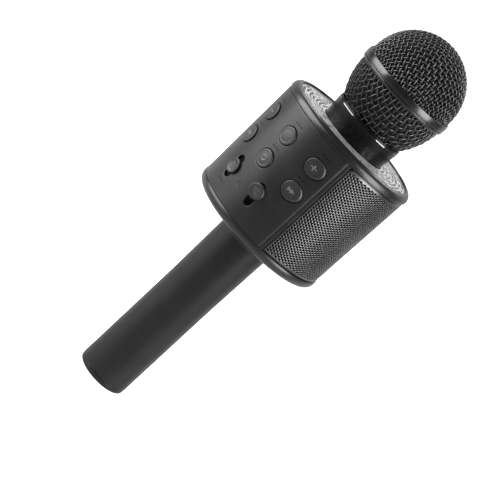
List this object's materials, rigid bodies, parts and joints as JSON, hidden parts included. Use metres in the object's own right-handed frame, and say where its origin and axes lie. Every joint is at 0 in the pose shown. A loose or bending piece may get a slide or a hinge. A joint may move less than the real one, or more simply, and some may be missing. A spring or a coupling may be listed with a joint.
{
  "type": "karaoke microphone",
  "caption": "Handheld karaoke microphone: straight tubular handle, round speaker drum with a button panel and perforated sides, and a wire-mesh head that unscrews from its neck.",
  "frame": {"origin": "centre of the flat end of the handle", "axes": "+Z along the handle's axis to the head, -Y out of the control panel, +X to the right when facing the panel"},
  "size_m": [0.0812, 0.082, 0.245],
  "materials": {
    "case_plastic": "satin graphite",
    "button_plastic": "satin graphite",
    "grille_metal": "satin gunmetal, perforated",
    "mesh_wire": "black woven wire",
    "band_metal": "glossy dark metal",
    "plate_metal": "bright patterned metal",
    "neck_gloss": "gloss black",
    "inner_plastic": "matte black",
    "circuit_board": "solder mask",
    "board_parts": "moulded black",
    "steel": "plain steel",
    "basket_metal": "black stamped metal",
    "magnet": "plain ferrite",
    "cone_paper": "pressed paper",
    "rubber": "soft matte",
    "lead_sheath": "soft sheath",
    "cell_wrap": "shrink wrap",
    "light": "clear diffuser",
    "capsule_brass": "plain",
    "foam": "open-cell foam"
  },
  "bodies": {
    "housing": {"handle_tube": "case_plastic", "handle_end_cap": "case_plastic", "handle_collar": "case_plastic", "battery_cell": "cell_wrap", "battery_cradle": "inner_plastic", "battery_board": "circuit_board", "battery_leads": "lead_sheath", "bottom_cap": "case_plastic", "top_cap": "case_plastic", "top_plate": "plate_metal", "front_panel": "case_plastic", "rear_panel": "case_plastic", "grille_left": "grille_metal", "grille_right": "grille_metal", "lower_frame": "inner_plastic", "upper_frame": "inner_plastic", "clamp_nuts": "steel", "case_screws": "steel", "baffle_left": "inner_plastic", "baffle_right": "inner_plastic", "speaker_basket_left": "basket_metal", "speaker_basket_right": "basket_metal", "speaker_magnet_left": "magnet", "speaker_magnet_right": "magnet", "speaker_cone_left": "cone_paper", "speaker_cone_right": "cone_paper", "speaker_surround_left": "rubber", "speaker_surround_right": "rubber", "speaker_screws": "steel", "speaker_leads": "lead_sheath", "control_board": "circuit_board", "board_chips": "board_parts", "board_screws": "steel", "tact_switches": "inner_plastic", "switch_bodies": "steel", "light_pipe": "light", "port_board": "circuit_board", "audio_jack": "inner_plastic", "charge_socket": "steel", "card_socket": "steel", "neck_collar": "neck_gloss", "capsule_post": "inner_plastic", "capsule_cushion": "rubber", "capsule": "capsule_brass", "capsule_lead": "lead_sheath"},
    "head_seal": {"head_seal": "rubber"},
    "head": {"head_base_ring": "neck_gloss", "lower_mesh": "mesh_wire", "head_band": "band_metal", "upper_mesh": "mesh_wire", "foam_liner": "foam"},
    "button_1": {"button_1": "button_plastic"},
    "button_2": {"button_2": "button_plastic"},
    "button_3": {"button_3": "button_plastic"},
    "button_4": {"button_4": "button_plastic"},
    "button_5": {"button_5": "button_plastic"},
    "button_6": {"button_6": "button_plastic"},
    "left_knob": {"left_knob": "button_plastic"},
    "right_knob": {"right_knob": "button_plastic"}
  },
  "joints": [
    {"name": "head_lift", "type": "slide", "parent": "housing", "child": "head_seal", "axis": [0, 0, 1], "range_m": [0, 0.008]},
    {"name": "head_turn", "type": "hinge", "parent": "head_seal", "child": "head", "pos_m": [0, 0, 0.1897], "axis": [0, 0, 1], "range_deg": [0, 1440]},
    {"name": "button_1_press", "type": "slide", "parent": "housing", "child": "button_1", "axis": [0, 1, 0], "range_m": [0, 0.0007], "stiffness_N_per_m": 1200, "springref_m": -0.0003},
    {"name": "button_2_press", "type": "slide", "parent": "housing", "child": "button_2", "axis": [0, 1, 0], "range_m": [0, 0.0007], "stiffness_N_per_m": 1200, "springref_m": -0.0003},
    {"name": "button_3_press", "type": "slide", "parent": "housing", "child": "button_3", "axis": [0, 1, 0], "range_m": [0, 0.0007], "stiffness_N_per_m": 1200, "springref_m": -0.0003},
    {"name": "button_4_press", "type": "slide", "parent": "housing", "child": "button_4", "axis": [0, 1, 0], "range_m": [0, 0.0007], "stiffness_N_per_m": 1200, "springref_m": -0.0003},
    {"name": "button_5_press", "type": "slide", "parent": "housing", "child": "button_5", "axis": [0, 1, 0], "range_m": [0, 0.0007], "stiffness_N_per_m": 1200, "springref_m": -0.0003},
    {"name": "button_6_press", "type": "slide", "parent": "housing", "child": "button_6", "axis": [0, 1, 0], "range_m": [0, 0.0007], "stiffness_N_per_m": 1200, "springref_m": -0.0003},
    {"name": "left_switch_slide", "type": "slide", "parent": "housing", "child": "left_knob", "axis": [0, 0, 1], "range_m": [-0.002, 0.002]},
    {"name": "right_switch_slide", "type": "slide", "parent": "housing", "child": "right_knob", "axis": [0, 0, 1], "range_m": [-0.004, 0]}
  ],
  "couplings": [
    {"joint": "head_lift", "follows": "head_turn", "m_per_rad": 0.00031831}
  ]
}
